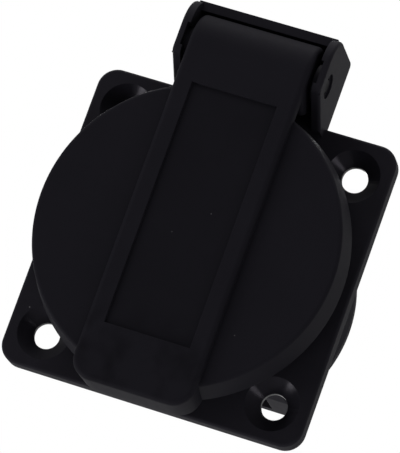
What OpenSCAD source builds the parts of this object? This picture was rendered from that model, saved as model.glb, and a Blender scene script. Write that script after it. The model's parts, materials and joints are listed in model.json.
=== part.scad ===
// Panel power socket with a self-closing round lid.
// The panel's front surface is the plane y = 0: the flange lies in front of it at negative y, the rear tube
// passes through it to positive y, and the lid hinge is at the top. The pieces are drawn flat, in a face
// frame with x to the right, y up and z out of the panel, and wall_frame() stands them up.

/* [Flange] */
// Distance from the lid's rim to the flange's sides
flange_margin = 0.2; // [0:0.1:5]
// Thickness of the flange
flange_t = 3; // [2.4:0.1:5]
// Radius of the flange's corners
flange_corner_r = 3.2; // [1.5:0.1:6]
// Rounding of the flange's front edge
flange_edge_r = 0.5; // [0.2:0.1:0.8]
// Distance from the fixing holes to the flange's sides
screw_inset = 6; // [5:0.1:7]
// Diameter of the fixing holes
screw_hole_d = 4.2; // [3.2:0.1:5]
// Diameter of the countersinks at the front
countersink_d = 8.6; // [6.5:0.1:9]

/* [Socket body] */
// Diameter of the plug recess
recess_d = 39.2; // [38.5:0.1:44]
// Wall of the collar round the recess
collar_wall = 2.25; // [1.9:0.05:3]
// Height of the collar's rim above the panel
collar_h = 12; // [9:0.5:16]
// Depth of the plug recess below the rim
recess_depth = 17.5; // [16.5:0.1:18.5]
// Rounding of the collar's rim
rim_edge_r = 0.5; // [0.2:0.1:0.9]
// Thickness of the ledge that carries the insert
ledge_t = 2.5; // [1.5:0.1:4]
// Width of that ledge
ledge_w = 1.4; // [0.8:0.1:1.6]
// Length of the rear tube behind the ledge
skirt_l = 8; // [7:0.1:12]
// Depth of the flats on the rear tube
flat_cut = 7.45; // [6.5:0.05:8]
// Wall of the rear tube
skirt_wall = 1.6; // [1.2:0.1:2.2]
// Distance from the wire entry to the rear cover's sides
window_side = 5.5; // [4.5:0.1:6]

/* [Rear cover] */
// Room behind the terminal screws' heads
driver_room = 2.2; // [1:0.1:5]
// Thickness of the cover's rim plate
cover_rim_t = 1.5; // [1:0.1:2.5]
// Step from the rear tube's side to the cover's side
cover_step = 3.65; // [2.5:0.05:4]
// Thickness of the cover's back
cover_back_t = 2; // [1.4:0.1:3]
// Diameter of the screwdriver holes
driver_hole_d = 5.8; // [4.5:0.1:6.4]
// Diameter of the cover screws
cover_screw_d = 2.9; // [2.5:0.1:3.3]

/* [Lid] */
// Gap between the lid's wall and the collar
lid_gap = 0.75; // [0.5:0.05:2]
// Growth of the lid's radius down its rim
lid_flare = 0.7; // [0.2:0.1:1.2]
// Height of the lid's rim
lid_rim_h = 5.4; // [4:0.1:7]
// Wall of the lid
lid_wall = 1.5; // [1.2:0.1:2]
// Rounding of the lid's face edge
lid_edge_r = 0.6; // [0.2:0.1:1.2]
// Width of the raised strap
strap_w = 19.8; // [17:0.2:24]
// Rise of the strap above the lid's face
strap_rise = 1.4; // [1:0.1:3]
// Rounding of the strap's edges
strap_edge_r = 0.8; // [0.3:0.1:0.9]
// Reach of the finger tab past the lid's face
tab_reach = 2.1; // [1.5:0.1:5]
// Radius of the finger tab's corners
tab_corner_r = 3.5; // [1.5:0.1:6]
// Distance from the sunken label panel to the strap's sides
label_side = 2.9; // [1.5:0.1:6]
// Distance from the label panel to the hinge axis
label_set = 6.7; // [6.5:0.1:20]
// Depth of the sunken label panel
label_depth = 0.5; // [0.2:0.1:0.9]
// Distance from the label panel to the finger tab's end
label_margin = 9.2; // [6:0.2:14]
// Width of the lid's seal ring
seal_w = 2.4; // [1.6:0.1:2.8]
// Thickness of the lid's seal ring
seal_t = 1.1; // [0.7:0.1:1.6]
// Depth of the groove that holds the seal
seal_groove = 0.3; // [0.2:0.05:0.6]

/* [Hinge] */
// Radius of the hinge barrel
barrel_r = 5.5; // [5.2:0.1:6]
// Distance of the hinge axis from the lid's rim
hinge_offset = 4.9; // [4.7:0.1:7]
// Diameter of the hinge pin
pin_d = 3; // [2.4:0.1:3.2]
// Thickness of the ears
ear_t = 1; // [0.8:0.1:1.6]
// Gap between the barrel's ends and the ears
ear_gap = 1.35; // [1:0.05:1.8]
// Thickness of the brows and lips that stiffen the ears' tops and undersides inside
brow_t = 0.45; // [0.3:0.05:0.7]
// Height of the brows' lower ends above the hinge axis
brow_low = 2.6; // [2:0.1:4]
// Distance from the hinge axis down to the lips
lip_drop = 1.2; // [0.8:0.1:1.6]
// Radius of the ears' upper front corners
lobe_r = 4.8; // [3.6:0.1:5.6]
// Radius of the ears' lower front corners
chin_r = 1.2; // [0.8:0.1:1.8]
// Distance from the hinge axis down to the middle of those corners
ear_drop = 1.5; // [1:0.1:1.8]
// Slope of the ears' undersides, which run back and down to the flange
ear_slope = 22.5; // [20:0.5:26]
// Distance from the strap's face back to the ears' fronts
lobe_set = 1.2; // [0.6:0.1:1.6]
// Distance from the panel out to the back edges of the hood
hood_back = 0.4; // [0.2:0.1:1.4]
// Thickness of the hood's back wall
hood_wall = 2.4; // [1.4:0.1:2.8]
// Thickness of the hood's top wall
hood_top_t = 1.5; // [1:0.1:2]
// Reach of the top wall in front of the hinge axis
hood_reach = 1; // [0:0.1:1.2]
// Diameter of the sinks round the pin's ends
pin_sink_d = 4; // [3.6:0.1:5]
// Depth of those sinks
pin_sink = 0.4; // [0.2:0.1:0.5]

/* [Lid spring] */
// Diameter of the spring wire
wire_d = 0.7; // [0.5:0.05:0.8]
// Diameter of the coil at the middle of its wire
coil_d = 4.9; // [4.5:0.1:5.2]
// Width of the pocket in the barrel
pocket_w = 8; // [7:0.5:11]

/* [Contacts] */
// Distance between the pin holes
pin_pitch = 19; // [18.6:0.1:19.4]
// Diameter of the pin holes
pin_hole_d = 5.6; // [5:0.1:6]
// Diameter of a plug's pins
plug_pin_d = 4.8; // [4.6:0.1:5]
// Wall of the contact sleeves
contact_t = 0.6; // [0.4:0.05:0.8]
// Length of the contact sleeves
contact_l = 12.5; // [11:0.1:14]
// Wall of the sleeves' clips
clip_t = 0.5; // [0.3:0.05:0.7]
// Thickness of the insert's floor
insert_t = 2.5; // [2:0.1:3.5]
// Reach of the guide ribs into the recess
guide_reach = 1.8; // [1:0.1:2.4]
// Width of the guide ribs
guide_w = 4.4; // [3:0.1:5]
// Height of the guide ribs above the floor
guide_h = 11; // [8:0.5:14]
// Width of the earth strap
earth_w = 6; // [4.5:0.1:7]
// Thickness of the earth strap
earth_t = 0.8; // [0.6:0.05:1]
// Distance from the recess's wall to where the earth clips touch the plug
earth_set = 3.7; // [3:0.1:4]
// Height of the earth clips above the floor
earth_h = 11; // [9:0.5:13]

/* [Terminals] */
// Width of the terminals
terminal_w = 6.4; // [5.6:0.1:7]
// Height of the terminals
terminal_h = 6.5; // [6:0.1:7]
// Length of the terminals
terminal_l = 8; // [7:0.1:9]
// Diameter of the wire holes
wire_hole_d = 3.2; // [2.4:0.1:3.4]
// Diameter of the terminal screws
terminal_screw_d = 3; // [2.5:0.1:3.2]
// Gap between the terminals and the rear tube's lower flat
terminal_gap = 0.8; // [0.4:0.1:1]

/* [Hidden] */
$fn = 64;

// Clearances
press_gap = 0.02;
running_gap = 0.06;
seat_gap = 0.15;
seal_gap = 0.1;
barrel_gap = 0.4;
boss_gap = 0.35;
cut = 1;

// Colours
black = [0.06, 0.06, 0.065];
dark_grey = [0.13, 0.13, 0.14];
rubber = [0.1, 0.1, 0.1];
steel = [0.72, 0.73, 0.75];
black_steel = [0.16, 0.16, 0.17];
brass = [0.78, 0.63, 0.32];
nickel = [0.75, 0.73, 0.68];

// Levels along z of the face frame, from the rim to the back
floor_top = collar_h - recess_depth;
floor_back = floor_top - insert_t;
ledge_back = floor_back - ledge_t;
skirt_end = ledge_back - skirt_l;

// Widths round the socket's axis, from the recess out to the flange
recess_r = recess_d / 2;
ledge_r = recess_r - ledge_w;
body_r = recess_r + collar_wall;
lid_r = body_r + lid_gap + lid_wall;
lid_low_r = lid_r + lid_flare;
flange_w = 2 * (lid_low_r + flange_margin);
screw_pitch = flange_w - 2 * screw_inset;
flat_w = 2 * (body_r - flat_cut);
cover_w = 2 * (body_r - cover_step);
window_w = cover_w - 2 * window_side;

// Lid levels
lid_under = collar_h + seal_gap + seal_t - seal_groove;
lid_top = lid_under + lid_wall;
lid_low = lid_top - lid_rim_h;
strap_top = lid_top + strap_rise;
tab_end = lid_r + tab_reach;
seal_r = (recess_r + body_r) / 2;

// Hinge places
pin_r = pin_d / 2;
hinge_y = lid_low_r + hinge_offset;
hinge_z = strap_top - barrel_r;
label_low = label_margin - tab_end;
label_w = strap_w - 2 * label_side;
label_l = hinge_y - label_set - label_low;
ear_in = strap_w / 2 + ear_gap;
ear_out = ear_in + ear_t;
boss_inset = 2.5;
boss_r = barrel_r - boss_inset;
boss_t = ear_gap - boss_gap;
hood_under = hinge_y + barrel_r + barrel_gap;
hood_top = hood_under + hood_top_t;
hood_inside = hinge_z - barrel_r - barrel_gap;
wall_back = hood_inside - hood_wall;
hood_front = hinge_z + hood_reach;
foot_lap = 1.4;
hood_foot = flange_w / 2 - foot_lap;
hood_corner_r = 1;
ear_edge_r = 0.5;
lobe_high = hood_top - lobe_r;
lobe_front = strap_top - lobe_set;
lobe_z = lobe_front - lobe_r;
chin_y = hinge_y - ear_drop;
chin_z = lobe_front - chin_r;
slope_y = chin_y - chin_r * cos(ear_slope);
slope_z = chin_z + chin_r * sin(ear_slope);
slope_l = (slope_y - hood_foot) / sin(ear_slope);
root_z = slope_z - slope_l * cos(ear_slope);
pin_proud = 0.1;
pin_chamfer = 0.5;
pin_l = 2 * (ear_out - pin_sink + pin_proud);

// Spring places
wire_r = wire_d / 2;
coil_r = coil_d / 2;
coil_turns = 5.25;
coil_end_room = 0.4;
coil_w = pocket_w - 2 * (wire_d + coil_end_room);
coil_start = -coil_w / 2;
coil_room = 0.7;
wire_room = 0.25;
leg_side_room = 0.5;
pocket_r = coil_r + wire_r + coil_room;
leg_y = hinge_y - coil_r;
leg_end = wall_back + hood_wall / 3;
axial_leg = 2.4;

// Contact and terminal places
pin_x = pin_pitch / 2;
pin_grip = 0.05;
sleeve_in = plug_pin_d / 2 - pin_grip;
sleeve_out = sleeve_in + contact_t;
sleeve_set = 1.5;
sleeve_front = floor_back - sleeve_set;
sleeve_back = sleeve_front - contact_l;
pad_h = 5;
tail_t = 0.8;
tail_front = floor_back - pad_h;
block_front = tail_front - tail_t;
block_back = block_front - terminal_l;
wire_set = 3.2;
wire_z = block_front - wire_set;
tip_gap = 0.2;
screw_tip = wire_z - wire_hole_d / 2 - tip_gap;
screw_head_gap = 0.6;
terminal_head_t = 1.9;
terminal_head_ratio = 1.74;
cover_inside = block_back - screw_head_gap - terminal_head_t - driver_room;
cover_back = cover_inside - cover_back_t;
cover_l = skirt_end - cover_back;
terminal_drop = flat_w / 2 - skirt_wall - terminal_gap - terminal_h / 2;
rivet_r = 1;
rivet_head_r = 1.8;
rivet_head_t = 0.8;
rivet_l = 1.4;
rivet_room = 0.3;
earth_front = floor_back - earth_t;
earth_span = recess_d - 2 * earth_set;
earth_inset = 0.6;
earth_foot = ledge_r - earth_inset;
earth_room = 0.4;
earth_rivet_r = 1.5;
earth_rivet_head_r = 2.6;
earth_rivet_head_t = 0.8;
post_r = 2.4;
post_side = 5.6;
post_x = cover_w / 2 - post_side;
post_gap = 1.2;
post_y = flat_w / 2 - skirt_wall - post_gap - post_r;
post_bore_l = 9;
thread_depth = 0.25;
post_bore_r = cover_screw_d / 2 - thread_depth;
cover_head_ratio = 1.8;
screw_head_r = cover_head_ratio * cover_screw_d / 2;
screw_head_t = 2;
screw_head_room = 0.2;
screw_head_set = 0.5;
cover_screw_l = 14;
head_seat = cover_back + screw_head_t + screw_head_set;

// Stands a piece that is drawn in the face frame up on the panel
module wall_frame() {
    rotate([90, 0, 0]) children();
}

// Extrudes an outline drawn in (z, y) along x, centred
module along_x(width) {
    rotate([0, 90, 0])
        translate([0, 0, -width / 2])
            linear_extrude(width)
                mirror([1, 0]) children();
}

// Extrudes an outline drawn in (x, z) along y, between two heights
module along_y(low, high) {
    translate([0, high, 0])
        rotate([90, 0, 0])
            linear_extrude(high - low) children();
}

module both_sides() {
    children();
    mirror([1, 0, 0]) children();
}

// What a rounded edge takes away from a corner at the origin, with the material at negative x and y
module edge_waste(r) {
    difference() {
        translate([-r, -r]) square(r + cut);
        translate([-r, -r]) circle(r);
    }
}

module rounded_square(w, r) {
    square([w, w - 2 * r], center = true);
    square([w - 2 * r, w], center = true);
    for (i = [-1, 1], j = [-1, 1])
        translate([i, j] * (w / 2 - r)) circle(r);
}

// Circle with two flats, above and below
module flatted_circle(r, flat) {
    intersection() {
        circle(r);
        square([2 * r + cut, 2 * flat], center = true);
    }
}

module flange_plate() {
    straight = flange_w - 2 * flange_corner_r;
    difference() {
        linear_extrude(flange_t) rounded_square(flange_w, flange_corner_r);
        for (a = [0:90:270])
            rotate([0, 0, a]) {
                along_x(straight)
                    translate([flange_t, flange_w / 2]) edge_waste(flange_edge_r);
                translate([straight / 2, straight / 2, 0])
                    rotate_extrude(angle = 90)
                        translate([flange_corner_r, flange_t]) edge_waste(flange_edge_r);
            }
    }
}

module fixing_holes() {
    sink_depth = (countersink_d - screw_hole_d) / 2;
    for (i = [-1, 1], j = [-1, 1])
        translate([i * screw_pitch / 2, j * screw_pitch / 2, 0]) {
            translate([0, 0, -cut]) cylinder(d = screw_hole_d, h = flange_t + 2 * cut);
            translate([0, 0, flange_t - sink_depth])
                cylinder(d1 = screw_hole_d, d2 = countersink_d, h = sink_depth);
            translate([0, 0, flange_t]) cylinder(d = countersink_d, h = cut / 2);
        }
}

// What the hood's rounded upper back corner takes away, in (z, y)
module hood_corner() {
    translate([hood_back, hood_top]) mirror([1, 0]) edge_waste(hood_corner_r);
}

// One ear seen from the side, in (z, y)
module ear_outline() {
    difference() {
        union() {
            translate([lobe_z, lobe_high]) circle(lobe_r);
            translate([chin_z, chin_y]) circle(chin_r);
            polygon([[hood_back, hood_foot], [root_z, hood_foot], [slope_z, slope_y], [chin_z, chin_y],
                [lobe_front, chin_y], [lobe_front, lobe_high], [lobe_z, lobe_high], [lobe_z, hood_top],
                [hood_back, hood_top]]);
        }
        hood_corner();
    }
}

// Foot that joins the back wall to the flange, in (z, y)
module hood_foot_outline(front) {
    back = min(hood_back, flange_t / 2);
    translate([back, hood_foot]) square([front - back, flange_w / 2 - hood_foot]);
}

// Rounding of an ear's outer edge: along its underside, round its front, along its top and down its back
module ear_edges() {
    translate([0, lobe_high, lobe_z])
        rotate([0, 90, 0])
            rotate([0, 0, 90])
                rotate_extrude(angle = 90) translate([lobe_r, ear_out]) edge_waste(ear_edge_r);
    along_y(chin_y, lobe_high) translate([ear_out, lobe_front]) edge_waste(ear_edge_r);
    translate([0, chin_y, chin_z])
        rotate([0, 90, 0])
            rotate([0, 0, 180])
                rotate_extrude(angle = 90 - ear_slope) translate([chin_r, ear_out]) edge_waste(ear_edge_r);
    translate([0, slope_y, slope_z])
        rotate([180 - ear_slope, 0, 0])
            linear_extrude(slope_l) translate([ear_out, 0]) edge_waste(ear_edge_r);
    translate([0, hood_top, hood_back + hood_corner_r])
        linear_extrude(lobe_z - hood_back - hood_corner_r)
            translate([ear_out, 0]) edge_waste(ear_edge_r);
    translate([0, hood_top - hood_corner_r, hood_back + hood_corner_r])
        rotate([0, 90, 0])
            rotate_extrude(angle = 90) translate([hood_corner_r, ear_out]) edge_waste(ear_edge_r);
    along_y(flange_w / 2, hood_top - hood_corner_r)
        translate([ear_out, hood_back]) mirror([0, 1]) edge_waste(ear_edge_r);
}

// Hood of the hinge: two ears with their brows, lips and bosses, a back wall and a top wall.
// The wall stands in front of the ears' back edges, so the hood is hollow behind.
module hood() {
    both_sides() {
        difference() {
            translate([ear_in + ear_t / 2, 0, 0]) along_x(ear_t) ear_outline();
            ear_edges();
        }
        translate([ear_in - brow_t / 2 + press_gap, 0, 0])
            along_x(brow_t)
                intersection() {
                    ear_outline();
                    union() {
                        translate([hood_back, hinge_y + brow_low]) square(lobe_front);
                        translate([hood_back, hood_foot])
                            square([lobe_front, hinge_y - lip_drop - hood_foot]);
                    }
                }
        translate([ear_in - boss_t, hinge_y, hinge_z])
            rotate([0, 90, 0]) cylinder(r = boss_r, h = boss_t + press_gap);
    }
    along_x(2 * ear_in + ear_t / 2)
        difference() {
            union() {
                translate([wall_back, hood_foot]) square([hood_wall, hood_top - hood_foot]);
                translate([hood_back, hood_under]) square([hood_front - hood_back, hood_top_t]);
                hood_foot_outline(hood_inside);
            }
            hood_corner();
        }
}

module housing() {
    color(black) wall_frame() difference() {
        union() {
            flange_plate();
            translate([0, 0, ledge_back]) cylinder(r = body_r, h = collar_h - ledge_back);
            translate([0, 0, skirt_end])
                linear_extrude(ledge_back - skirt_end) flatted_circle(body_r, flat_w / 2);
            hood();
        }
        translate([0, 0, floor_back]) cylinder(r = recess_r, h = collar_h - floor_back + cut);
        translate([0, 0, ledge_back - cut])
            linear_extrude(ledge_t + 2 * cut) flatted_circle(ledge_r, flat_w / 2 - skirt_wall);
        translate([-earth_w / 2 - seat_gap, -earth_foot - seat_gap, earth_front - earth_room])
            cube([earth_w + 2 * seat_gap, 2 * (earth_foot + seat_gap), earth_t + earth_room + cut]);
        translate([0, 0, skirt_end - cut])
            linear_extrude(ledge_back - skirt_end + cut)
                flatted_circle(body_r - skirt_wall, flat_w / 2 - skirt_wall);
        translate([-window_w / 2, -flat_w / 2 - cut, skirt_end - cut])
            cube([window_w, skirt_wall + 2 * cut, ledge_back - skirt_end + cut]);
        rotate_extrude() translate([body_r, collar_h]) edge_waste(rim_edge_r);
        translate([0, 0, collar_h - rim_edge_r])
            cylinder(r1 = recess_r, r2 = recess_r + rim_edge_r, h = rim_edge_r);
        fixing_holes();
        translate([-ear_out - cut, hinge_y, hinge_z])
            rotate([0, 90, 0]) cylinder(r = pin_r + press_gap, h = 2 * (ear_out + cut));
        both_sides()
            translate([ear_out - pin_sink, hinge_y, hinge_z])
                rotate([0, 90, 0]) cylinder(d = pin_sink_d, h = pin_sink + cut);
        translate([coil_start, leg_y, wall_back - cut])
            cylinder(r = wire_r + wire_room, h = hood_wall + 2 * cut);
    }
}

// Round cap of the lid, open below
module lid_cap() {
    face_corner = lid_top - lid_edge_r;
    inside_low_r = lid_low_r - lid_wall;
    rotate_extrude() difference() {
        union() {
            polygon([[0, lid_low], [lid_low_r, lid_low], [lid_r, face_corner],
                [lid_r - lid_edge_r, lid_top], [0, lid_top]]);
            translate([lid_r - lid_edge_r, face_corner]) circle(lid_edge_r);
        }
        polygon([[-cut, lid_low - cut], [inside_low_r, lid_low - cut], [inside_low_r, lid_low],
            [lid_r - lid_wall, lid_under], [-cut, lid_under]]);
        translate([seal_r - seal_w / 2, lid_under - cut]) square([seal_w, cut + seal_groove]);
    }
}

// The strap and its finger tab seen from the front
module strap_plan() {
    half = strap_w / 2;
    translate([-half, tab_corner_r - tab_end]) square([strap_w, hinge_y + tab_end - tab_corner_r]);
    translate([tab_corner_r - half, -tab_end]) square([strap_w - 2 * tab_corner_r, 2 * tab_corner_r]);
    for (i = [-1, 1])
        translate([i * (half - tab_corner_r), tab_corner_r - tab_end]) circle(tab_corner_r);
}

// Rounding of the strap's front edges, from the barrel down and round the finger tab
module strap_edges() {
    half = strap_w / 2;
    both_sides() {
        along_y(tab_corner_r - tab_end, hinge_y) translate([half, strap_top]) edge_waste(strap_edge_r);
        translate([half - tab_corner_r, tab_corner_r - tab_end, 0])
            rotate([0, 0, -90])
                rotate_extrude(angle = 90) translate([tab_corner_r, strap_top]) edge_waste(strap_edge_r);
    }
    along_x(strap_w - 2 * tab_corner_r)
        translate([strap_top, -tab_end]) mirror([0, 1]) edge_waste(strap_edge_r);
}

// Barrel of the hinge, with round edges like the strap's
module barrel() {
    shoulder = strap_w / 2 - strap_edge_r;
    translate([0, hinge_y, hinge_z])
        rotate([0, 90, 0])
            rotate_extrude() {
                translate([0, -strap_w / 2]) square([barrel_r - strap_edge_r, strap_w]);
                translate([0, -shoulder]) square([barrel_r, 2 * shoulder]);
                for (i = [-1, 1])
                    translate([barrel_r - strap_edge_r, i * shoulder]) circle(strap_edge_r);
            }
}

// Room in the barrel for the coil and for its fixed leg over the lid's travel, in (z, y)
module spring_pocket() {
    leg_room = coil_r + wire_r + leg_side_room;
    reach = barrel_r + 2 * cut;
    skin = coil_r - wire_r - coil_room;
    translate([hinge_z, hinge_y]) {
        circle(pocket_r);
        polygon([[0, -leg_room], [-reach, -leg_room], [-reach, reach], [-skin, reach], [-skin, 0], [0, 0]]);
    }
}

module lid() {
    strap_low = (lid_under + seal_groove + lid_top) / 2;
    color(black) wall_frame() difference() {
        union() {
            lid_cap();
            difference() {
                translate([0, 0, strap_low]) linear_extrude(strap_top - strap_low) strap_plan();
                strap_edges();
            }
            barrel();
            translate([0, 0, lid_low])
                linear_extrude(lid_top - lid_low)
                    difference() {
                        intersection() {
                            strap_plan();
                            translate([-2 * lid_r, -2 * lid_r]) square([4 * lid_r, 2 * lid_r]);
                        }
                        circle(lid_r - lid_wall / 2);
                    }
        }
        translate([-label_w / 2, label_low, strap_top - label_depth])
            cube([label_w, label_l, label_depth + cut]);
        along_x(pocket_w) spring_pocket();
        translate([0, hinge_y, hinge_z])
            rotate([0, 90, 0]) cylinder(r = pin_r + running_gap, h = strap_w + 2 * cut, center = true);
        translate([0, hinge_y, hinge_z + coil_r])
            rotate([0, 90, 0]) cylinder(r = wire_r + wire_room, h = coil_w / 2 + axial_leg + wire_room);
    }
}

module lid_seal() {
    color(rubber) wall_frame()
        rotate_extrude()
            translate([seal_r - seal_w / 2 + seat_gap / 2, lid_under + seal_groove - seal_t])
                square([seal_w - seat_gap, seal_t]);
}

module hinge_pin() {
    color(black_steel) wall_frame()
        translate([0, hinge_y, hinge_z])
            rotate([0, 90, 0]) {
                cylinder(r = pin_r, h = pin_l - 2 * pin_chamfer, center = true);
                for (a = [0, 180])
                    rotate([a, 0, 0])
                        translate([0, 0, pin_l / 2 - pin_chamfer])
                            cylinder(r1 = pin_r, r2 = pin_r - pin_chamfer, h = pin_chamfer);
            }
}

// Middle line of the spring wire: the fixed leg, the coil and the leg in the barrel
function coil_point(turn) =
    let (a = 270 + 360 * turn)
    [coil_start + coil_w * turn / coil_turns, hinge_y + coil_r * sin(a), hinge_z + coil_r * cos(a)];
steps_per_turn = 20;
bend_rise = 0.6;
bend_end = 1.6;
coil_end = coil_point(coil_turns);
spring_path = concat(
    [[coil_start, leg_y, leg_end], [coil_start, leg_y, (leg_end + hinge_z) / 2]],
    [for (i = [0:coil_turns * steps_per_turn]) coil_point(i / steps_per_turn)],
    [coil_end + [wire_r, wire_r, 0], coil_end + [wire_d, bend_rise * wire_d, 0]],
    [coil_end + [bend_end * wire_d, 0, 0], coil_end + [axial_leg, 0, 0]]);

function unit(v) = v / norm(v);
function along(path, i) =
    unit(path[min(i + 1, len(path) - 1)] - path[max(i - 1, 0)]);
// One ring of the wire's surface, square to its path, turned towards the hinge axis
function wire_ring(path, i, sides) =
    let (
        t = along(path, i),
        out = [0, path[i][1] - hinge_y, path[i][2] - hinge_z],
        u = unit(out - (out * t) * t),
        w = cross(t, u))
    [for (k = [0:sides - 1]) path[i] + wire_r * (cos(360 * k / sides) * u + sin(360 * k / sides) * w)];

// Tube along a path
module wire(path, sides) {
    rings = len(path);
    points = [for (i = [0:rings - 1]) each wire_ring(path, i, sides)];
    walls = [for (i = [0:rings - 2], k = [0:sides - 1])
        let (a = i * sides + k, b = i * sides + (k + 1) % sides)
        each [[a, a + sides, b + sides], [a, b + sides, b]]];
    first = [for (k = [0:sides - 1]) k];
    last = [for (k = [sides - 1:-1:0]) (rings - 1) * sides + k];
    polyhedron(points, concat(walls, [first, last]));
}

module lid_spring() {
    color(steel) wall_frame() wire(spring_path, 8);
}

// Floor of the plug recess, with what stands on its back
module socket_insert() {
    chamber_room = 1.2;
    chamber_in = sleeve_out + chamber_room;
    chamber_t = 1.1;
    chamber_set = 0.6;
    chamber_l = pad_h - chamber_set;
    wall_t = 1.2;
    wall_x = pin_x / 2;
    wall_low = -terminal_drop - terminal_h / 2;
    wall_over = 2;
    wall_h = terminal_h + wall_over;
    pad_inset = 1;
    pad_w = terminal_w - pad_inset;
    pad_side = terminal_h - pad_inset;
    slot_out = earth_foot + seat_gap;
    slot_in = earth_span / 2 - earth_t;
    color(dark_grey) wall_frame() difference() {
        union() {
            translate([0, 0, floor_back]) cylinder(r = recess_r - seat_gap, h = insert_t);
            both_sides() {
                intersection() {
                    translate([recess_r - guide_reach, -guide_w / 2, floor_back])
                        cube([guide_reach, guide_w, insert_t + guide_h]);
                    translate([0, 0, floor_back]) cylinder(r = recess_r - seat_gap, h = insert_t + guide_h);
                }
                translate([pin_x, 0, floor_back - chamber_l])
                    cylinder(r = chamber_in + chamber_t, h = chamber_l + cut);
                translate([wall_x - wall_t / 2, wall_low, block_back])
                    cube([wall_t, wall_h, floor_back - block_back + cut]);
                translate([pin_x - pad_w / 2, wall_low, tail_front])
                    cube([pad_w, pad_side, pad_h + cut]);
                translate([post_x, post_y, skirt_end])
                    cylinder(r = post_r, h = floor_back - skirt_end + cut);
            }
        }
        both_sides() {
            translate([pin_x, 0, floor_back - cut]) cylinder(d = pin_hole_d, h = insert_t + 2 * cut);
            translate([pin_x, 0, floor_back - chamber_l - cut])
                cylinder(r = chamber_in, h = chamber_l + cut);
            translate([pin_x, -terminal_drop, tail_front - cut])
                cylinder(r = rivet_head_r + rivet_room, h = rivet_head_t + rivet_room + cut);
            translate([post_x, post_y, skirt_end - cut]) cylinder(r = post_bore_r, h = post_bore_l + cut);
        }
        for (i = [-1, 1])
            translate([-earth_w / 2 - seat_gap, i > 0 ? slot_in : -slot_out, floor_back - cut])
                cube([earth_w + 2 * seat_gap, slot_out - slot_in, insert_t + 2 * cut]);
        translate([0, -terminal_drop, floor_back - cut])
            cylinder(r = rivet_head_r + rivet_room, h = rivet_head_t + rivet_room + cut);
        translate([0, 0, floor_back - cut]) cylinder(r = earth_rivet_r + press_gap, h = insert_t + 2 * cut);
        translate([0, 0, floor_top - earth_rivet_head_t])
            cylinder(r = earth_rivet_head_r + press_gap, h = earth_rivet_head_t + cut);
    }
}

// Slit sleeve with a collar that runs down into the tail under its terminal
module line_contact(side) {
    slit_w = 0.9;
    slit_set = 0.7;
    slit_from = block_front - slit_set;
    collar_w = 0.9;
    collar_r = sleeve_out + collar_w;
    tail_inset = 0.7;
    tail_w = terminal_w - 2 * tail_inset;
    color(brass) wall_frame() translate([side * pin_x, 0, 0]) difference() {
        union() {
            translate([0, 0, sleeve_back]) cylinder(r = sleeve_out, h = contact_l);
            translate([0, 0, block_front]) {
                cylinder(r = collar_r, h = tail_t);
                translate([-tail_w / 2, -terminal_drop - terminal_h / 2, 0])
                    cube([tail_w, terminal_drop + terminal_h / 2, tail_t]);
            }
        }
        translate([0, 0, sleeve_back - cut]) cylinder(r = sleeve_in, h = contact_l + 2 * cut);
        translate([-slit_w / 2, -collar_r - cut, sleeve_back - cut])
            cube([slit_w, 2 * (collar_r + cut), slit_from - sleeve_back + cut]);
        translate([0, -terminal_drop, block_front - cut])
            cylinder(r = rivet_r + press_gap, h = tail_t + 2 * cut);
    }
}

module left_contact() {
    line_contact(-1);
}

module right_contact() {
    line_contact(1);
}

// Open steel ring round the slit end of a sleeve
module contact_clip(side) {
    clip_l = 3;
    clip_set = 1.2;
    clip_gap = 50;
    color(steel) wall_frame()
        translate([side * pin_x, 0, sleeve_back + clip_set])
            rotate([0, 0, 90 + clip_gap / 2])
                rotate_extrude(angle = 360 - clip_gap)
                    translate([sleeve_out + press_gap, 0]) square([clip_t, clip_l]);
}

module left_contact_clip() {
    contact_clip(-1);
}

module right_contact_clip() {
    contact_clip(1);
}

// One earth clip in (z, y), as points along its outer side and back along its inner side
clip_root = 0.5;
touch_from = 0.6;
touch_to = 0.75;
clip_low = touch_from * earth_h;
clip_high = touch_to * earth_h;
function clip_side(offset) = [
    [floor_back, earth_foot - offset],
    [floor_top + clip_root, earth_foot - offset],
    [floor_top + clip_low, earth_span / 2 + earth_t - offset],
    [floor_top + clip_high, earth_span / 2 + earth_t - offset],
    [floor_top + earth_h, earth_foot - offset]];
function backwards(list) = [for (i = [len(list) - 1:-1:0]) list[i]];

module earth_strap() {
    color(nickel) wall_frame() difference() {
        union() {
            for (i = [0, 1])
                mirror([0, i, 0])
                    along_x(earth_w)
                        polygon(concat([[earth_front, earth_foot]], clip_side(0),
                            backwards(clip_side(earth_t)), [[earth_front, earth_foot - earth_t]]));
            translate([-earth_w / 2, -earth_foot, earth_front]) cube([earth_w, 2 * earth_foot, earth_t]);
        }
        translate([0, 0, earth_front - cut]) cylinder(r = earth_rivet_r + press_gap, h = earth_t + 2 * cut);
        translate([0, -terminal_drop, earth_front - cut])
            cylinder(r = rivet_r + press_gap, h = earth_t + 2 * cut);
    }
}

module earth_rivet() {
    color(nickel) wall_frame() {
        translate([0, 0, earth_front]) cylinder(r = earth_rivet_r, h = floor_top - earth_front);
        translate([0, 0, floor_top - earth_rivet_head_t])
            cylinder(r = earth_rivet_head_r, h = earth_rivet_head_t);
        translate([0, 0, earth_front - earth_rivet_head_t])
            cylinder(r = earth_rivet_head_r, h = earth_rivet_head_t);
    }
}

// Pillar with a wire hole from below, a screw hole from the back and a rivet hole in its front
module terminal(x, front) {
    color(brass) wall_frame() translate([x, -terminal_drop, 0]) difference() {
        translate([-terminal_w / 2, -terminal_h / 2, block_back])
            cube([terminal_w, terminal_h, front - block_back]);
        translate([0, 0, wire_z])
            rotate([90, 0, 0]) cylinder(d = wire_hole_d, h = terminal_h + 2 * cut, center = true);
        translate([0, 0, block_back - cut])
            cylinder(r = terminal_screw_d / 2 + press_gap, h = wire_z - block_back + cut);
        translate([0, 0, front - rivet_l]) cylinder(r = rivet_r + press_gap, h = rivet_l + cut);
    }
}

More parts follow.
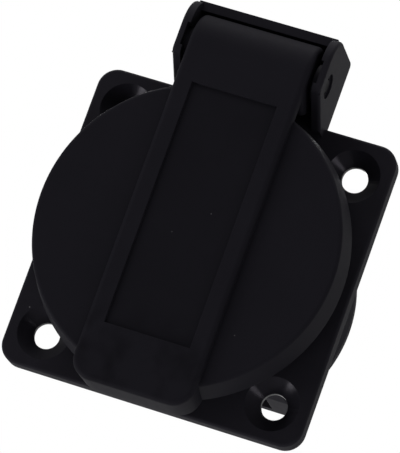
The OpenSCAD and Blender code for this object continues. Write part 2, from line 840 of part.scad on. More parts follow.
module left_terminal() {
    terminal(-pin_x, block_front);
}

module right_terminal() {
    terminal(pin_x, block_front);
}

module earth_terminal() {
    terminal(0, earth_front);
}

// Slotted cheese-head screw, pointing to the front, with its tip at the origin
module slotted_screw(r, head_r, head_t, length) {
    slot_w = 0.7;
    slot_share = 0.45;
    slot_d = slot_share * head_t;
    difference() {
        union() {
            translate([0, 0, -length - head_t]) {
                cylinder(r = r, h = length + head_t);
                cylinder(r = head_r, h = head_t);
            }
        }
        translate([-head_r - cut, -slot_w / 2, -length - head_t - cut])
            cube([2 * (head_r + cut), slot_w, slot_d + cut]);
    }
}

module terminal_screws() {
    head_r = terminal_head_ratio * terminal_screw_d / 2;
    shank = screw_tip - block_back + screw_head_gap;
    color(steel) wall_frame()
        for (i = [-1:1])
            translate([i * pin_x, -terminal_drop, screw_tip])
                slotted_screw(terminal_screw_d / 2, head_r, terminal_head_t, shank);
}

module rivet(front) {
    end_room = 0.1;
    shank = tail_t + rivet_l - end_room;
    translate([0, 0, front]) cylinder(r = rivet_head_r, h = rivet_head_t);
    translate([0, 0, front - shank]) cylinder(r = rivet_r, h = shank + rivet_head_t);
}

module terminal_rivets() {
    color(brass) wall_frame() {
        for (i = [-1, 1])
            translate([i * pin_x, -terminal_drop, 0]) rivet(tail_front);
        translate([0, -terminal_drop, 0]) rivet(floor_back);
    }
}

module cover_outline(inset) {
    intersection() {
        flatted_circle(body_r - inset, flat_w / 2 - inset);
        square([cover_w - 2 * inset, 2 * body_r], center = true);
    }
}

// Cap behind the rear tube: a rim plate that closes the tube and a narrower box for the terminals
module rear_cover() {
    column_t = 0.7;
    head_room_r = screw_head_r + screw_head_room;
    color(black) wall_frame() difference() {
        union() {
            difference() {
                union() {
                    translate([0, 0, cover_back]) linear_extrude(cover_l) cover_outline(0);
                    translate([0, 0, skirt_end - cover_rim_t])
                        linear_extrude(cover_rim_t) flatted_circle(body_r, flat_w / 2);
                }
                translate([0, 0, cover_inside])
                    linear_extrude(cover_l) cover_outline(skirt_wall);
                translate([-window_w / 2, -flat_w / 2 - cut, cover_inside])
                    cube([window_w, skirt_wall + 2 * cut, cover_l]);
            }
            both_sides()
                translate([post_x, post_y, cover_back]) cylinder(r = head_room_r + column_t, h = cover_l);
        }
        both_sides() {
            translate([post_x, post_y, cover_back - cut])
                cylinder(r = head_room_r, h = head_seat - cover_back + cut);
            translate([post_x, post_y, cover_back])
                cylinder(r = cover_screw_d / 2 + screw_head_room, h = cover_l + cut);
        }
        for (i = [-1:1])
            translate([i * pin_x, -terminal_drop, cover_back - cut])
                cylinder(d = driver_hole_d, h = cover_back_t + 2 * cut);
    }
}

module cover_screws() {
    color(steel) wall_frame()
        both_sides()
            translate([post_x, post_y, head_seat + cover_screw_l])
                slotted_screw(post_bore_r - press_gap, screw_head_r, screw_head_t, cover_screw_l);
}

housing();
lid();
lid_seal();
hinge_pin();
lid_spring();
socket_insert();
left_contact();
right_contact();
left_contact_clip();
right_contact_clip();
earth_strap();
earth_rivet();
left_terminal();
right_terminal();
earth_terminal();
terminal_screws();
terminal_rivets();
rear_cover();
cover_screws();
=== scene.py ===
import bmesh
import bpy
import json
import math
from mathutils import Matrix, Vector


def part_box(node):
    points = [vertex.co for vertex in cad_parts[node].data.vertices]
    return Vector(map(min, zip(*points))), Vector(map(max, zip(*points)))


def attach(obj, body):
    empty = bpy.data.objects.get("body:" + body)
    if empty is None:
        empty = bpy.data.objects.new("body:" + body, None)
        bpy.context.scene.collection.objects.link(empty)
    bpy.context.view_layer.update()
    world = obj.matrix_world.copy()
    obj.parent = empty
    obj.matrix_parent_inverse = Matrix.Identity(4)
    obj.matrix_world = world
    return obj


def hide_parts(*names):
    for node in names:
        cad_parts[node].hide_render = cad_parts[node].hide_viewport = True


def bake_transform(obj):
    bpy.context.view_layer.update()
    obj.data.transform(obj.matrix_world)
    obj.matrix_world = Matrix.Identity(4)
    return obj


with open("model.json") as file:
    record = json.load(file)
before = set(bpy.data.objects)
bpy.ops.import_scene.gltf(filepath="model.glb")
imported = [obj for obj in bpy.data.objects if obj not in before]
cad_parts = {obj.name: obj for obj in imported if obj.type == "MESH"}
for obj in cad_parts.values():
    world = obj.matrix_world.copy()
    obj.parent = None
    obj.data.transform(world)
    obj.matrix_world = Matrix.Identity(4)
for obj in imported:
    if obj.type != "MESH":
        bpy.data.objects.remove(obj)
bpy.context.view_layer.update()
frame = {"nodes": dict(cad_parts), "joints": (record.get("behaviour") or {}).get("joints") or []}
nodes = frame["nodes"]
hinge = next(joint for joint in frame["joints"] if joint["name"] == "lid_hinge")
hingeAt = Vector(hinge["pos_m"])
mm = 0.001
nearBy = 0.01 * mm      # edges and faces are picked by their place to within this
weldGap = 0.001 * mm    # corners closer than this become one
print("frame loaded:", len(nodes), "nodes")


# camera at the photo's angle, from below and a little to the right
cameraLook = {
    "place": (0.1498, -0.5865, -0.1261),
    "turn": (16.82, 14.18, -12.6),   # roll, swing and tilt of the picture, in degrees
    "lens": 315.3,
    "sensor": 36.0,
    "near": 0.01,
    "far": 20,
}


def makeCamera(look):
    roll, swing, tilt = (math.radians(angle) for angle in look["turn"])
    upright = Matrix(((1, 0, 0), (0, 0, -1), (0, 1, 0)))   # wall frame to right, down and forward
    turns = Matrix.Rotation(roll, 3, "Z") @ Matrix.Rotation(swing, 3, "Y")
    turns = turns @ Matrix.Rotation(tilt, 3, "X")
    right, down, forward = turns @ upright
    data = bpy.data.cameras.new("photoCamera")
    data.lens = look["lens"]
    data.sensor_width = look["sensor"]
    data.clip_start = look["near"]
    data.clip_end = look["far"]
    camera = bpy.data.objects.new("photoCamera", data)
    bpy.context.scene.collection.objects.link(camera)
    axes = Matrix((right, -down, -forward)).transposed()
    camera.matrix_world = Matrix.Translation(look["place"]) @ axes.to_4x4()
    bpy.context.scene.camera = camera


makeCamera(cameraLook)
bpy.context.scene.view_settings.view_transform = "Standard"
print("camera set")


# shader sockets that read as plain arithmetic
class Wire:
    def __init__(self, owner, output):
        self.owner = owner
        self.output = output

    def maths(self, operation, *values):
        return self.owner.node("ShaderNodeMath", {"operation": operation}, list(values))

    def __add__(self, other):
        return self.maths("ADD", self, other)

    def __radd__(self, other):
        return self.maths("ADD", other, self)

    def __sub__(self, other):
        return self.maths("SUBTRACT", self, other)

    def __rsub__(self, other):
        return self.maths("SUBTRACT", other, self)

    def __mul__(self, other):
        return self.maths("MULTIPLY", self, other)

    def __rmul__(self, other):
        return self.maths("MULTIPLY", other, self)

    def __abs__(self):
        return self.maths("ABSOLUTE", self)

    def __pow__(self, other):
        return self.maths("POWER", self, other)

    def __gt__(self, other):
        return self.maths("GREATER_THAN", self, other)

    def __lt__(self, other):
        return self.maths("LESS_THAN", self, other)


# the nodes of a material or of the world
class Nodes:
    def __init__(self, tree):
        self.tree = tree
        self.tree.nodes.clear()

    def node(self, kind, settings=None, sockets=None, out=0):
        made = self.tree.nodes.new(kind)
        for key, value in (settings or {}).items():
            setattr(made, key, value)
        pairs = enumerate(sockets) if isinstance(sockets, list) else (sockets or {}).items()
        for key, value in pairs:
            self.feed(made, key, value)
        return Wire(self, made.outputs[out])

    def feed(self, made, key, value):
        if isinstance(value, Wire):
            self.tree.links.new(value.output, made.inputs[key])
        else:
            made.inputs[key].default_value = value

    def end(self, kind, surface):
        self.feed(self.tree.nodes.new(kind), "Surface", surface)


noiseMiddle = 0.5   # a noise runs from 0 to 1 about this


# one material: a Principled shader and the nodes that feed it
class Finish(Nodes):
    def __init__(self, name):
        self.material = bpy.data.materials.new(name)
        self.material.use_nodes = True
        super().__init__(self.material.node_tree)
        shader = self.node("ShaderNodeBsdfPrincipled")
        self.shader = shader.output.node
        self.end("ShaderNodeOutputMaterial", shader)
        self.place = self.node("ShaderNodeTexCoord", out="Object")

    def surface(self, **values):
        for key, value in values.items():
            self.feed(self.shader, key.replace("_", " "), value)

    def moved(self, offset):
        return self.node("ShaderNodeVectorMath", {"operation": "ADD"}, [self.place, offset])

    def noise(self, scale, detail=2, rough=0.5, offset=(0, 0, 0)):
        sockets = {"Vector": self.moved(offset), "Scale": scale, "Detail": detail, "Roughness": rough}
        return self.node("ShaderNodeTexNoise", None, sockets)

    # a noise that swings by half the amount either way
    def sway(self, noise, amount):
        return (noise - noiseMiddle) * amount

    def axis(self, name):
        return self.node("ShaderNodeSeparateXYZ", None, [self.place], out=name)

    # 0 at low and 1 at high, and no further
    def ramp(self, value, low, high):
        sockets = {"Value": value, "From Min": low, "From Max": high, "To Min": 0.0, "To Max": 1.0}
        return self.node("ShaderNodeMapRange", {"clamp": True}, sockets)

    # 6 and 7 are the Mix node's colours, and its output 2 is the mixed colour
    def mix(self, share, first, second):
        return self.node("ShaderNodeMix", {"data_type": "RGBA"}, {0: share, 6: first, 7: second}, out=2)

    def bump(self, height, distance, strength, normal):
        sockets = {"Height": height, "Distance": distance, "Strength": strength, "Normal": normal}
        return self.node("ShaderNodeBump", None, sockets)

    def roundEdges(self, radius, samples=6):
        return self.node("ShaderNodeBevel", {"samples": samples}, {"Radius": radius})

    # 0 on flat faces, rising to 1 along the edges
    def edges(self, radius, low=0.02, high=0.25):
        flat = self.node("ShaderNodeNewGeometry", out="Normal")
        soft = self.roundEdges(radius)
        agree = self.node("ShaderNodeVectorMath", {"operation": "DOT_PRODUCT"}, [flat, soft], out="Value")
        return self.ramp(1 - agree, low, high)

    # sparse round specks: the cells of a 3-D pattern whose own number is high
    def specks(self, scale, size, keep, offset=(0, 0, 0)):
        cell = {"Vector": self.moved(offset), "Scale": scale}
        near = self.node("ShaderNodeTexVoronoi", None, cell)
        tint = self.node("ShaderNodeTexVoronoi", None, cell, out="Color")
        number = self.node("ShaderNodeSeparateColor", None, [tint])
        return (near < size) * (number > keep)


blackTint = (1.02, 0.97, 1.28)   # the mouldings' black is a touch violet


def grey(shade, warm=0.0):
    return (shade * (1 + warm), shade, shade * (1 - warm), 1)


def black(shade):
    return (*(shade * tint for tint in blackTint), 1)


# moulded black plastic: fine spark-eroded grain, faint flow marks, polished edges and a little dust
plasticLook = {
    "housing": {
        "shade": 0.0047, "pale": 0.0066, "rough": 0.66, "ior": 1.12, "grain": 0.012,
        "round": 0.15 * mm, "wear": 0.3, "dust": 0.985, "offset": (0, 0, 0),
    },
    "lid": {
        "shade": 0.005, "pale": 0.0057, "rough": 0.62, "ior": 1.085, "grain": 0.012,
        "round": 0.15 * mm, "wear": 0.1, "dust": 0.98, "offset": (0.31, 0.07, 0.19),
    },
    "insert": {
        "shade": 0.011, "pale": 0.015, "rough": 0.55, "ior": 1.25, "grain": 0.008,
        "round": 0.12 * mm, "wear": 0.35, "dust": 0.985, "offset": (0.11, 0.47, 0.29),
    },
    "cover": {
        "shade": 0.0047, "pale": 0.0066, "rough": 0.66, "ior": 1.12, "grain": 0.012,
        "round": 0.12 * mm, "wear": 0.35, "dust": 0.985, "offset": (0.53, 0.17, 0.41),
    },
}

# what the mouldings share
mouldLook = {
    "clouds": (90, 3, 0.55),         # noises: scale, detail, roughness
    "flow": (900, 2, 0.6),
    "grain": (7000, 2, 0.6),
    "dust": (620, 0.07),             # specks: scale, size
    "fluff": (240, 0.04, 0.985),     # specks: scale, size, rarity
    "edge": 0.25 * mm,
    "cloudShare": 0.7,
    "flowShare": 0.3,
    "toneFrom": 0.35,
    "toneTo": 0.65,
    "wornPale": 1.8,
    "dustShare": 0.25,
    "dustShade": 0.3,
    "fluffShare": 0.2,
    "fluffShade": 0.25,
    "flowHeight": 0.02,
    "dustHeight": 0.03,
    "flowRough": 0.12,
    "grainRough": 0.08,
    "wornRough": 0.06,
    "bumpDepth": 1 * mm,
    "bump": 0.6,
    "sheen": (0.92, 0.86, 1, 1),     # tint of what the surface mirrors
}
sinkLook = {
    "pitch": 38 * mm, "radius": 4.32 * mm, "front": -2.97 * mm, "rough": 0.2,
    "dustHigh": 0.8 * mm, "dustLow": -1.2 * mm, "rearFrom": 1 * mm, "rearRough": 0.3,
}
panelLook = {
    "half": 7 * mm, "low": -17 * mm, "high": 23 * mm, "front": -15.6 * mm, "back": -15 * mm,
    "dull": 0.3, "darker": 0.5,
}
smudgeLook = {
    "from": -12 * mm, "to": -18 * mm, "front": -15 * mm, "scale": 210,
    "blotchFrom": 0.46, "blotchTo": 0.8, "dark": 0.75, "darker": 0.3,
}


# 1 on the cones of the four countersinks, where the mould is polished
# it fades low in each cone, where dust settles
def countersinks(finish, look):
    height = finish.axis("Z")
    across = abs(finish.axis("X")) - look["pitch"] / 2
    up = abs(height) - look["pitch"] / 2
    inside = (across ** 2 + up ** 2) < look["radius"] ** 2
    side = (height > 0) * 2 - 1      # 1 at the upper holes, -1 at the lower
    clean = finish.ramp(up * side, look["dustLow"], look["dustHigh"])
    return inside * (finish.axis("Y") > look["front"]) * clean


# 1 on the floor of the strap's sunken panel
def sunkenPanel(finish, look):
    up = finish.axis("Z")
    depth = finish.axis("Y")
    across = abs(finish.axis("X")) < look["half"]
    between = (up > look["low"]) * (up < look["high"])
    return across * between * (depth > look["front"]) * (depth < look["back"])


# blotches that fingers leave on the strap's low end
def fingerMarks(finish, look, offset):
    blotch = finish.ramp(finish.noise(look["scale"], offset=offset), look["blotchFrom"], look["blotchTo"])
    lowEnd = finish.ramp(finish.axis("Z"), look["from"], look["to"])
    return blotch * lowEnd * (finish.axis("Y") < look["front"])


def mouldedPlastic(name, look, mould, sinks=None, panel=None, smudges=None):
    finish = Finish(name)
    clouds = finish.noise(*mould["clouds"], look["offset"])
    flow = finish.noise(*mould["flow"], look["offset"])
    grain = finish.noise(*mould["grain"], look["offset"])
    worn = finish.edges(mould["edge"])
    dust = finish.specks(*mould["dust"], look["dust"], look["offset"])
    fluff = finish.specks(*mould["fluff"], look["offset"])
    cloudy = clouds * mould["cloudShare"] + flow * mould["flowShare"]
    tone = finish.ramp(cloudy, mould["toneFrom"], mould["toneTo"])
    colour = finish.mix(tone, black(look["shade"]), black(look["pale"]))
    colour = finish.mix(worn * look["wear"], colour, black(look["pale"] * mould["wornPale"]))
    colour = finish.mix(dust * mould["dustShare"], colour, grey(mould["dustShade"]))
    colour = finish.mix(fluff * mould["fluffShare"], colour, grey(mould["fluffShade"]))
    if panel:
        floor = sunkenPanel(finish, panel)
        colour = finish.mix(floor * panel["dull"], colour, black(look["shade"] * panel["darker"]))
    if smudges:
        marks = fingerMarks(finish, smudges, look["offset"])
        colour = finish.mix(marks * smudges["dark"], colour, black(look["shade"] * smudges["darker"]))
    height = grain * look["grain"] + flow * mould["flowHeight"] + dust * mould["dustHeight"]
    rough = look["rough"] + finish.sway(flow, mould["flowRough"]) + finish.sway(grain, mould["grainRough"])
    rough = rough - worn * mould["wornRough"]
    if sinks:
        polished = countersinks(finish, sinks)
        rough = rough * (1 - polished) + polished * sinks["rough"]
        rough = rough + (finish.axis("Y") > sinks["rearFrom"]) * sinks["rearRough"]
    soft = finish.roundEdges(look["round"])
    finish.surface(
        Base_Color=colour,
        Roughness=rough,
        Normal=finish.bump(height, mould["bumpDepth"], mould["bump"], soft),
        IOR=look["ior"],
        Specular_Tint=mould["sheen"])
    return finish.material


# metals: fine drawn lines, faint tarnish and bright worn edges
metalLook = {
    "pinSteel": {
        "bright": (0.006, 0.0058, 0.0066, 1), "dull": (0.0036, 0.0034, 0.004, 1),
        "rough": 0.66, "along": (60, 1, 1), "metal": 0.0, "ior": 1.14,
    },
    "springSteel": {
        "bright": (0.46, 0.47, 0.49, 1), "dull": (0.3, 0.305, 0.315, 1),
        "rough": 0.3, "along": (1, 1, 1), "metal": 1.0, "ior": 1.5,
    },
    "screwSteel": {
        "bright": (0.6, 0.6, 0.58, 1), "dull": (0.42, 0.41, 0.36, 1),
        "rough": 0.32, "along": (1, 30, 1), "metal": 1.0, "ior": 1.5,
    },
    "brass": {
        "bright": (0.72, 0.53, 0.23, 1), "dull": (0.5, 0.34, 0.13, 1),
        "rough": 0.3, "along": (1, 20, 1), "metal": 1.0, "ior": 1.5,
    },
    "plated": {
        "bright": (0.68, 0.66, 0.61, 1), "dull": (0.5, 0.48, 0.43, 1),
        "rough": 0.28, "along": (1, 1, 20), "metal": 1.0, "ior": 1.5,
    },
}

# what the metals share
workLook = {
    "lineScale": 9000,
    "lineDetail": 2,
    "tarnish": (420, 4, 0.65),       # noises: scale, detail, roughness
    "spots": (2600, 3, 0.7),
    "edge": 0.15 * mm,
    "tarnishShare": 0.6,
    "spotShare": 0.4,
    "dullFrom": 0.38,
    "dullTo": 0.66,
    "wornBright": 0.8,
    "dullRough": 0.16,
    "lineRough": 0.12,
    "wornRough": 0.08,
    "lineDepth": 0.004 * mm,
    "bump": 0.5,
    "round": 0.08 * mm,
}


def workedMetal(name, look, work):
    finish = Finish(name)
    stretch = [1 / length for length in look["along"]]
    lines = finish.node("ShaderNodeVectorMath", {"operation": "MULTIPLY"}, [finish.place, stretch])
    lineSockets = {"Vector": lines, "Scale": work["lineScale"], "Detail": work["lineDetail"]}
    drawn = finish.node("ShaderNodeTexNoise", None, lineSockets)
    tarnish = finish.noise(*work["tarnish"])
    spots = finish.noise(*work["spots"])
    worn = finish.edges(work["edge"])
    stained = tarnish * work["tarnishShare"] + spots * work["spotShare"]
    dull = finish.ramp(stained, work["dullFrom"], work["dullTo"])
    rough = look["rough"] + dull * work["dullRough"] + finish.sway(drawn, work["lineRough"])
    soft = finish.roundEdges(work["round"])
    finish.surface(
        Base_Color=finish.mix(dull * (1 - worn * work["wornBright"]), look["bright"], look["dull"]),
        Metallic=look["metal"],
        IOR=look["ior"],
        Roughness=rough - worn * work["wornRough"],
        Normal=finish.bump(drawn, work["lineDepth"], work["bump"], soft))
    return finish.material


# soft rubber: even, matt, with bloom and a few grains of dust
rubberLook = {
    "bloom": (700, 4, 0.65),         # noises: scale, detail, roughness
    "skin": (6000, 2, 0.5),
    "dust": (900, 0.1, 0.96),        # specks: scale, size, rarity
    "bloomFrom": 0.4,
    "bloomTo": 0.7,
    "shade": 0.011,
    "bloomShade": 0.02,
    "bloomWarm": 0.03,
    "dustShare": 0.4,
    "dustShade": 0.3,
    "rough": 0.72,
    "skinRough": 0.15,
    "bloomRough": 0.08,
    "skinHeight": 0.01,
    "bumpDepth": 1 * mm,
    "bump": 0.5,
    "round": 0.15 * mm,
}


def softRubber(name, look):
    finish = Finish(name)
    bloom = finish.ramp(finish.noise(*look["bloom"]), look["bloomFrom"], look["bloomTo"])
    skin = finish.noise(*look["skin"])
    dust = finish.specks(*look["dust"])
    colour = finish.mix(bloom, grey(look["shade"]), grey(look["bloomShade"], look["bloomWarm"]))
    soft = finish.roundEdges(look["round"])
    finish.surface(
        Base_Color=finish.mix(dust * look["dustShare"], colour, grey(look["dustShade"])),
        Roughness=look["rough"] + finish.sway(skin, look["skinRough"]) + bloom * look["bloomRough"],
        Normal=finish.bump(skin * look["skinHeight"], look["bumpDepth"], look["bump"], soft))
    return finish.material


finishes = {
    "housing": mouldedPlastic("housingPlastic", plasticLook["housing"], mouldLook, sinks=sinkLook),
    "lid": mouldedPlastic("lidPlastic", plasticLook["lid"], mouldLook, panel=panelLook, smudges=smudgeLook),
    "insert": mouldedPlastic("insertPlastic", plasticLook["insert"], mouldLook),
    "cover": mouldedPlastic("coverPlastic", plasticLook["cover"], mouldLook),
    "rubber": softRubber("sealRubber", rubberLook),
    "pinSteel": workedMetal("pinSteel", metalLook["pinSteel"], workLook),
    "springSteel": workedMetal("springSteel", metalLook["springSteel"], workLook),
    "screwSteel": workedMetal("screwSteel", metalLook["screwSteel"], workLook),
    "brass": workedMetal("contactBrass", metalLook["brass"], workLook),
    "plated": workedMetal("platedBrass", metalLook["plated"], workLook),
}
finishOfNode = {
    "housing": "housing",
    "lid": "lid",
    "lid_seal": "rubber",
    "hinge_pin": "pinSteel",
    "lid_spring": "springSteel",
    "socket_insert": "insert",
    "left_contact": "brass",
    "right_contact": "brass",
    "left_contact_clip": "springSteel",
    "right_contact_clip": "springSteel",
    "earth_strap": "plated",
    "earth_rivet": "plated",
    "left_terminal": "brass",
    "right_terminal": "brass",
    "earth_terminal": "brass",
    "terminal_screws": "screwSteel",
    "terminal_rivets": "brass",
    "rear_cover": "cover",
    "cover_screws": "screwSteel",
}
for name, part in nodes.items():
    part.data.materials.clear()
    part.data.materials.append(finishes[finishOfNode[name]])
print("finishes made:", len(finishes))


# in edit mode: only the edges or faces whose middle passes the test
def pick(kind, test):
    bpy.ops.mesh.select_mode(type=kind)
    bpy.ops.mesh.select_all(action="DESELECT")
    mesh = bmesh.from_edit_mesh(bpy.context.object.data)
    for item in mesh.edges if kind == "EDGE" else mesh.faces:
        spots = [corner.co for corner in item.verts]
        item.select_set(test(sum(spots, Vector()) / len(spots)))
    bmesh.update_edit_mesh(bpy.context.object.data)


# merges doubled corners, turns the faces outwards and leaves edit mode
def closeShell():
    bpy.ops.mesh.select_mode(type="VERT")
    bpy.ops.mesh.select_all(action="SELECT")
    bpy.ops.mesh.remove_doubles(threshold=weldGap)
    bpy.ops.mesh.normals_make_consistent(inside=False)
    bpy.ops.object.mode_set(mode="OBJECT")


def extrudeAlong(distance):
    bpy.ops.mesh.extrude_region_move(TRANSFORM_OT_translate={"value": (0, distance, 0)})


# torsion spring: fixed leg in the hood, coil round the pin, other leg in the barrel
springLook = {
    "wire": 0.7 * mm,
    "coil": 4.9 * mm,
    "turns": 5.25,
    "width": 5.8 * mm,
    "startAngle": 270,        # the fixed leg leaves the coil at its underside
    "legEnd": -2.8 * mm,      # where the fixed leg ends in the hood's wall
    "axialLeg": 2.4 * mm,
    "legBend": ((0.5, 0.5), (1, 0.6), (1.6, 0.1)),   # along and up, in wire thicknesses
    "perTurn": 40,
    "roundSteps": 4,
    "smooth": 40,
}


def makeSpring(look):
    radius = look["coil"] / 2
    wire = look["wire"]
    width = look["width"]
    start = Vector((-width / 2, 0, 0)) + hingeAt
    points = [Vector((start.x, look["legEnd"], start.z - radius))]
    steps = round(look["turns"] * look["perTurn"])
    for i in range(steps + 1):
        turn = look["turns"] * i / steps
        angle = math.radians(look["startAngle"]) + 2 * math.pi * turn
        along = width * turn / look["turns"]
        points.append(start + Vector((along, -radius * math.cos(angle), radius * math.sin(angle))))
    last = points[-1]
    for along, up in look["legBend"]:
        points.append(last + Vector((along * wire, 0, up * wire)))
    points.append(last + Vector((look["axialLeg"], 0, 0)))
    curve = bpy.data.curves.new("lidSpring", "CURVE")
    curve.dimensions = "3D"
    curve.bevel_depth = wire / 2
    curve.bevel_resolution = look["roundSteps"]
    curve.use_fill_caps = True
    line = curve.splines.new("POLY")
    line.points.add(len(points) - 1)
    for spot, point in zip(line.points, points):
        spot.co = (*point, 1)
    spring = bpy.data.objects.new("lidSpring", curve)
    bpy.context.scene.collection.objects.link(spring)
    bpy.ops.object.select_all(action="DESELECT")
    spring.select_set(True)
    bpy.context.view_layer.objects.active = spring
    bpy.ops.object.convert(target="MESH")
    bpy.ops.object.mode_set(mode="EDIT")
    closeShell()
    bpy.ops.object.shade_smooth_by_angle(angle=math.radians(look["smooth"]))
    spring.data.materials.append(finishes["springSteel"])
    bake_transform(spring)
    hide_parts("lid_spring")


makeSpring(springLook)
print("spring wound")


# soft ring in the lid's groove, with two round lips towards the collar's rim
sealLook = {
    "width": 2.25 * mm,
    "base": 0.55 * mm,
    "round": 0.22 * mm,
    "roundSteps": 4,
    "steps": 144,
    "smooth": 50,
}


def makeSeal(look):
    low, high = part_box("lid_seal")
    middle = high.x - look["width"] / 2
    under = low.y + look["base"]
    bpy.ops.object.select_all(action="DESELECT")
    bpy.ops.mesh.primitive_plane_add(size=1)
    seal = bpy.context.object
    seal.name = "lidSeal"
    bpy.ops.object.mode_set(mode="EDIT")
    bpy.ops.transform.resize(value=(look["width"], look["base"], 1))
    bpy.ops.transform.translate(value=(middle, low.y + look["base"] / 2, 0))
    pick("EDGE", lambda at: abs(at.y - under) < nearBy)
    bpy.ops.mesh.subdivide(number_cuts=2)
    pick("EDGE", lambda at: abs(at.y - under) < nearBy and abs(at.x - middle) > nearBy)
    extrudeAlong(high.y - under)
    pick("FACE", lambda at: True)
    bpy.ops.mesh.dissolve_faces()
    bpy.ops.mesh.select_mode(type="VERT")
    bpy.ops.mesh.select_all(action="SELECT")
    bpy.ops.mesh.bevel(offset=look["round"], segments=look["roundSteps"], affect="VERTICES")
    bpy.ops.mesh.select_all(action="SELECT")
    bpy.ops.mesh.delete(type="ONLY_FACE")
    bpy.ops.mesh.select_all(action="SELECT")
    bpy.ops.mesh.spin(steps=look["steps"], angle=2 * math.pi, center=(0, 0, 0), axis=(0, 1, 0))
    closeShell()
    bpy.ops.object.shade_smooth_by_angle(angle=math.radians(look["smooth"]))
    seal.data.materials.append(finishes["rubber"])
    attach(seal, "lid")
    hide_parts("lid_seal")


makeSeal(sealLook)
print("seal spun")


# slotted screws: domed cheese head, rolled thread and a blunt tip
screwLook = {
    "cover_screws": {
        "name": "coverScrews", "count": 2, "head": 2.0 * mm, "shank": 1.18 * mm, "pitch": 1.0 * mm,
        "thread": 0.2 * mm, "plain": 2.5 * mm, "tip": 0.9 * mm,
    },
    "terminal_screws": {
        "name": "terminalScrews", "count": 3, "head": 1.9 * mm, "shank": 1.5 * mm, "pitch": 0.5 * mm,
        "thread": 0.18 * mm, "plain": 0.2 * mm, "tip": 0.4 * mm,
    },
}

# what the screws share
slotLook = {
    "width": 0.7 * mm,
    "share": 0.45,            # slot depth over head height
    "reach": 3,               # length of the slot's cutter over head radius
    "dome": 0.4 * mm,
    "domeSteps": 4,
    "sides": 48,
    "tipShare": 0.55,         # width at the tip's end over the core's width
    "threadShare": 0.42,      # half the width of the thread's ridge over the pitch
    "threadCorners": 4,
    "threadSides": 24,
    "smooth": 35,
}


def makeThread(look, slot, length):
    core = look["shank"] - look["thread"]
    run = length - look["tip"] - look["plain"]
    foot = look["pitch"] * slot["threadShare"]
    bpy.ops.object.select_all(action="DESELECT")
    bpy.ops.mesh.primitive_circle_add(
        vertices=slot["threadCorners"], radius=foot, fill_type="NOTHING",
        location=(core, look["tip"] - length + look["pitch"] / 2, 0))
    thread = bpy.context.object
    bpy.ops.object.mode_set(mode="EDIT")
    bpy.ops.transform.resize(value=(look["thread"] / foot, 1, 1))
    bpy.ops.object.mode_set(mode="OBJECT")
    bpy.ops.object.transform_apply(location=True, rotation=True, scale=True)
    turn = thread.modifiers.new("turn", "SCREW")
    turn.axis = "Y"
    turn.screw_offset = look["pitch"]
    turn.iterations = max(1, int(run / look["pitch"]) - 1)
    turn.steps = slot["threadSides"]
    turn.render_steps = slot["threadSides"]
    bpy.ops.object.modifier_apply(modifier=turn.name)
    bpy.ops.object.mode_set(mode="EDIT")
    bpy.ops.mesh.select_mode(type="EDGE")
    bpy.ops.mesh.select_all(action="DESELECT")
    bpy.ops.mesh.select_non_manifold()
    bpy.ops.mesh.fill_holes(sides=0)
    closeShell()
    return thread


# one screw along Y, with the head's underside at 0
def makeScrew(look, slot, headR, length):
    core = look["shank"] - look["thread"]
    bpy.ops.object.select_all(action="DESELECT")
    bpy.ops.mesh.primitive_cylinder_add(
        vertices=slot["sides"], radius=headR, depth=look["head"],
        location=(0, look["head"] / 2, 0), rotation=(math.pi / 2, 0, 0))
    screw = bpy.context.object
    bpy.ops.object.transform_apply(location=True, rotation=True, scale=True)
    bpy.ops.object.mode_set(mode="EDIT")
    pick("EDGE", lambda at: at.y > look["head"] - nearBy)
    bpy.ops.mesh.bevel(offset=slot["dome"], segments=slot["domeSteps"])
    pick("FACE", lambda at: at.y < nearBy)
    bpy.ops.mesh.inset(thickness=headR - core)
    extrudeAlong(look["tip"] - length)
    extrudeAlong(-look["tip"])
    bpy.ops.transform.resize(value=(slot["tipShare"], 1, slot["tipShare"]))
    bpy.ops.object.mode_set(mode="OBJECT")
    bpy.ops.mesh.primitive_cube_add(size=1, location=(0, look["head"], 0))
    cutter = bpy.context.object
    cutter.scale = (slot["reach"] * headR, 2 * slot["share"] * look["head"], slot["width"])
    bpy.ops.object.transform_apply(location=True, rotation=True, scale=True)
    cutter.select_set(False)
    screw.select_set(True)
    bpy.context.view_layer.objects.active = screw
    cut = screw.modifiers.new("slot", "BOOLEAN")
    cut.object = cutter
    bpy.ops.object.modifier_apply(modifier=cut.name)
    bpy.data.objects.remove(cutter)
    thread = makeThread(look, slot, length)
    bpy.ops.object.select_all(action="DESELECT")
    thread.select_set(True)
    screw.select_set(True)
    bpy.context.view_layer.objects.active = screw
    bpy.ops.object.join()
    return screw


def makeScrews(node, look, slot):
    low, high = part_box(node)
    headR = (high.z - low.z) / 2
    screw = makeScrew(look, slot, headR, high.y - low.y - look["head"])
    reach = high.x - headR
    middle = (low.z + high.z) / 2
    copies = [screw] + [screw.copy() for i in range(look["count"] - 1)]
    for i, copy in enumerate(copies):
        if copy != screw:
            copy.data = screw.data.copy()
            bpy.context.scene.collection.objects.link(copy)
        copy.location = (reach * (2 * i / (look["count"] - 1) - 1), high.y - look["head"], middle)
    bpy.ops.object.select_all(action="DESELECT")
    for copy in copies:
        copy.select_set(True)
    bpy.context.view_layer.objects.active = screw
    bpy.ops.object.transform_apply(location=True, rotation=True, scale=True)
    bpy.ops.object.join()
    screw.name = look["name"]
    bpy.ops.object.shade_smooth_by_angle(angle=math.radians(slot["smooth"]))
    screw.data.materials.append(finishes["screwSteel"])
    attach(screw, "socket")
    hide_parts(node)


for node, look in screwLook.items():
    makeScrews(node, look, slotLook)
print("screws cut")


# rivet through the recess floor: domed head in front, upset head behind the earth strap
rivetLook = {
    "head": 0.8 * mm,
    "shank": 1.5 * mm,
    "dome": 0.55 * mm,
    "upset": 0.35 * mm,
    "domeSteps": 6,
    "sides": 64,
    "smooth": 35,
}


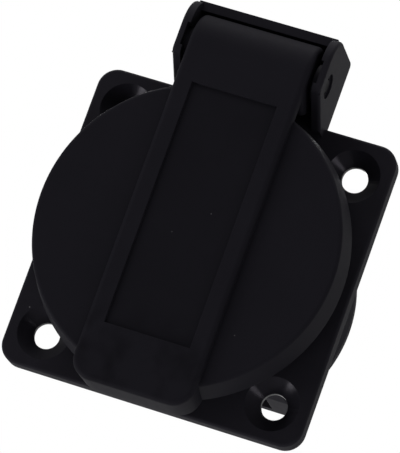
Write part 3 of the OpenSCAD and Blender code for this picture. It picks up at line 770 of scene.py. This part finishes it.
def makeRivet(look):
    low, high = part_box("earth_rivet")
    headR = (high.x - low.x) / 2
    shank = high.y - low.y - 2 * look["head"]
    spread = headR / look["shank"]
    bpy.ops.object.select_all(action="DESELECT")
    bpy.ops.mesh.primitive_cylinder_add(
        vertices=look["sides"], radius=headR, depth=look["head"],
        location=(0, low.y + look["head"] / 2, 0), rotation=(math.pi / 2, 0, 0))
    rivet = bpy.context.object
    rivet.name = "earthRivet"
    bpy.ops.object.transform_apply(location=True, rotation=True, scale=True)
    bpy.ops.object.mode_set(mode="EDIT")
    pick("FACE", lambda at: at.y > low.y + look["head"] - nearBy)
    bpy.ops.mesh.inset(thickness=headR - look["shank"])
    extrudeAlong(shank)
    extrudeAlong(0)     # widened in place, the start of the upset head
    bpy.ops.transform.resize(value=(spread, 1, spread))
    extrudeAlong(look["head"])
    pick("EDGE", lambda at: at.y < low.y + nearBy)
    bpy.ops.mesh.bevel(offset=look["dome"], segments=look["domeSteps"])
    pick("EDGE", lambda at: at.y > high.y - nearBy)
    bpy.ops.mesh.bevel(offset=look["upset"], segments=look["domeSteps"])
    closeShell()
    bpy.ops.object.shade_smooth_by_angle(angle=math.radians(look["smooth"]))
    rivet.data.materials.append(finishes["plated"])
    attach(rivet, "socket")
    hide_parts("earth_rivet")


makeRivet(rivetLook)
print("rivet set")


# plain pale floor below the socket
floorLook = {"drop": 0.75, "size": 8.0, "shade": 0.82, "paler": 1.05, "clouds": 1.5, "rough": 0.85}


def makeFloor(look):
    bpy.ops.object.select_all(action="DESELECT")
    bpy.ops.mesh.primitive_plane_add(size=look["size"], location=(0, 0, -look["drop"]))
    floor = bpy.context.object
    floor.name = "floor"
    finish = Finish("floorPaper")
    clouds = finish.noise(look["clouds"])
    finish.surface(
        Base_Color=finish.mix(clouds, grey(look["shade"]), grey(look["shade"] * look["paler"])),
        Roughness=look["rough"])
    floor.data.materials.append(finish.material)


# white surround: its strength as light on the object, and as the background that is seen or mirrored
worldLook = {"light": 0.65, "seen": 1.0, "colour": (1, 1, 1, 1)}


def makeWorld(look):
    world = bpy.data.worlds.new("studio")
    bpy.context.scene.world = world
    world.use_nodes = True
    sky = Nodes(world.node_tree)
    seen = sky.node("ShaderNodeLightPath", out="Is Camera Ray")
    path = seen.output.node
    for ray in ("Is Glossy Ray", "Is Transmission Ray"):
        seen = seen.maths("MAXIMUM", seen, Wire(sky, path.outputs[ray]))
    strength = look["light"] + seen * (look["seen"] - look["light"])
    background = sky.node("ShaderNodeBackground", None, {"Color": look["colour"], "Strength": strength})
    sky.end("ShaderNodeOutputWorld", background)


# soft studio lamps, each aimed at the socket
lampLook = {
    "keyLamp": {"place": (-0.9, -0.9, 1.2), "size": 0.9, "power": 12.5},
    "rightLamp": {"place": (1.2, -0.41, -0.37), "size": 0.3, "power": 3.7},
    "lowLamp": {"place": (-0.46, -0.16, -0.52), "size": 0.26, "power": 3.8},
    "topLamp": {"place": (-0.15, -0.02, 1.5), "size": 0.4, "power": 12.5},
    "backLamp": {"place": (-0.5, 1.5, 0.6), "size": 0.9, "power": 26},
}


def makeLamps(look):
    for name, lamp in look.items():
        data = bpy.data.lights.new(name, "AREA")
        data.size = lamp["size"]
        data.energy = lamp["power"]
        holder = bpy.data.objects.new(name, data)
        bpy.context.scene.collection.objects.link(holder)
        place = Vector(lamp["place"])
        aim = (-place).to_track_quat("-Z", "Y").to_matrix().to_4x4()
        holder.matrix_world = Matrix.Translation(place) @ aim


makeFloor(floorLook)
makeWorld(worldLook)
makeLamps(lampLook)
print("stage lit")
